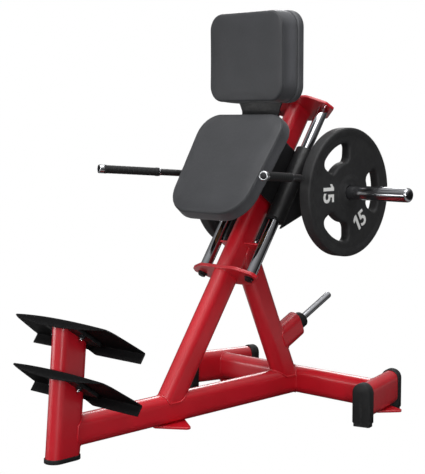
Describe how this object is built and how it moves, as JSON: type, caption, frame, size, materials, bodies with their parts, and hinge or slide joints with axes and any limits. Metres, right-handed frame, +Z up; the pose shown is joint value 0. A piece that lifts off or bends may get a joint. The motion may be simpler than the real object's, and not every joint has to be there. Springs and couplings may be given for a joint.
{
  "type": "standing calf raise machine",
  "caption": "Plate-loaded standing calf raise machine: an inclined carriage with pads, handles and weight horns slides on two rods above a pair of foot plates.",
  "frame": {"origin": "on the floor, at the middle of the machine's bounding box in plan", "axes": "+X towards the machine's right as the user faces the foot plates' far side from the pads, +Y from the foot plates to the rear, +Z up"},
  "size_m": [1.052, 1.374, 1.412],
  "materials": {
    "red_powder_coat": "gloss powder coat on steel tube",
    "black_satin_paint": "satin black powder coat",
    "chrome": "polished hard chrome",
    "rubber": "matte moulded rubber",
    "upholstery": "fine-grained artificial leather",
    "plywood": "bare birch plywood",
    "disc_rubber": "moulded rubber over a cast disc",
    "bronze": "machined bronze"
  },
  "bodies": {
    "frame": {"base_beam": "red_powder_coat", "rear_crossbar": "red_powder_coat", "left_foot_tube": "red_powder_coat", "right_foot_tube": "red_powder_coat", "left_front_cap": "rubber", "left_rear_cap": "rubber", "right_front_cap": "rubber", "right_rear_cap": "rubber", "beam_anchor_plate": "red_powder_coat", "left_anchor_plate": "red_powder_coat", "right_anchor_plate": "red_powder_coat", "front_post": "red_powder_coat", "front_post_foot": "rubber", "upper_foot_plate": "black_satin_paint", "lower_foot_plate": "black_satin_paint", "upper_foot_flange": "black_satin_paint", "lower_foot_flange": "black_satin_paint", "main_column": "red_powder_coat", "rear_leg": "red_powder_coat", "lower_rod_plate": "red_powder_coat", "upper_rod_plate": "red_powder_coat", "left_guide_rod": "chrome", "right_guide_rod": "chrome", "left_stop_bracket": "red_powder_coat", "right_stop_bracket": "red_powder_coat", "left_stop_buffer": "rubber", "right_stop_buffer": "rubber", "storage_stub": "red_powder_coat", "storage_collar": "rubber", "storage_peg": "chrome"},
    "carriage": {"left_bearing_housing": "black_satin_paint", "right_bearing_housing": "black_satin_paint", "left_linear_bush": "bronze", "right_linear_bush": "bronze", "left_side_plate": "black_satin_paint", "right_side_plate": "black_satin_paint", "rear_cross_plate": "black_satin_paint", "left_horn_gusset": "black_satin_paint", "right_horn_gusset": "black_satin_paint", "horn_crossbar": "black_satin_paint", "left_horn_collar": "black_satin_paint", "right_horn_collar": "black_satin_paint", "left_weight_horn": "chrome", "right_weight_horn": "chrome", "seat_cushion": "upholstery", "seat_board": "plywood", "back_cushion": "upholstery", "back_shell": "upholstery", "pad_bracket": "black_satin_paint", "left_handle_bar": "black_satin_paint", "right_handle_bar": "black_satin_paint", "left_grip": "rubber", "right_grip": "rubber", "left_grip_cap": "chrome", "right_grip_cap": "chrome"},
    "left_plate": {"left_weight_plate": "disc_rubber"},
    "right_plate": {"right_weight_plate": "disc_rubber"}
  },
  "joints": [
    {"name": "carriage_slide", "type": "slide", "parent": "frame", "child": "carriage", "axis": [0, 0.5664, 0.8241], "range_m": [0, 0.15]},
    {"name": "left_plate_slide", "type": "slide", "parent": "carriage", "child": "left_plate", "axis": [-1, 0, 0], "range_m": [0, 0.32]},
    {"name": "right_plate_slide", "type": "slide", "parent": "carriage", "child": "right_plate", "axis": [1, 0, 0], "range_m": [0, 0.32]}
  ]
}
